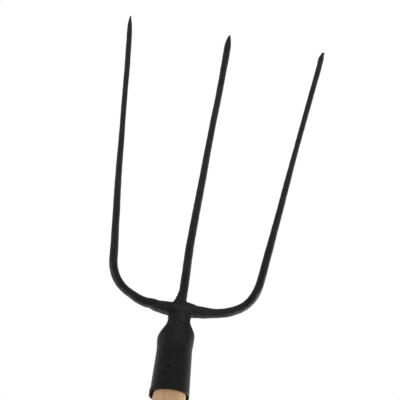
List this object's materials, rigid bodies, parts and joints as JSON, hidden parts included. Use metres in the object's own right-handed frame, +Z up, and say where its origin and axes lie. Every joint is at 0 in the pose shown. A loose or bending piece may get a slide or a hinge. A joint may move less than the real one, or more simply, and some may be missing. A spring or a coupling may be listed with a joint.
{
  "type": "three-tine hay fork",
  "caption": "Hay fork with long round dished tines, a forged and welded black steel head, and a straight wooden handle driven into its conical socket.",
  "frame": {"origin": "middle of the flat end of the handle's butt, on the handle's centre line", "axes": "+Z up along the handle to the tines' points; -Y towards the front, the hollow side of the dished tines; X across the tines, with the left tine of the picture at -X"},
  "size_m": [0.2031, 0.1575, 1.4944],
  "materials": {
    "black_steel": "black enamel, satin, over forged steel",
    "screw_steel": "black enamel over a slotted steel screw",
    "wood": "smooth bare hardwood with straight grain"
  },
  "bodies": {
    "root": {"handle": "wood", "socket": "black_steel", "socket_screw": "screw_steel", "outer_tines": "black_steel", "centre_tine": "black_steel", "yoke_weld": "black_steel"}
  },
  "joints": []
}
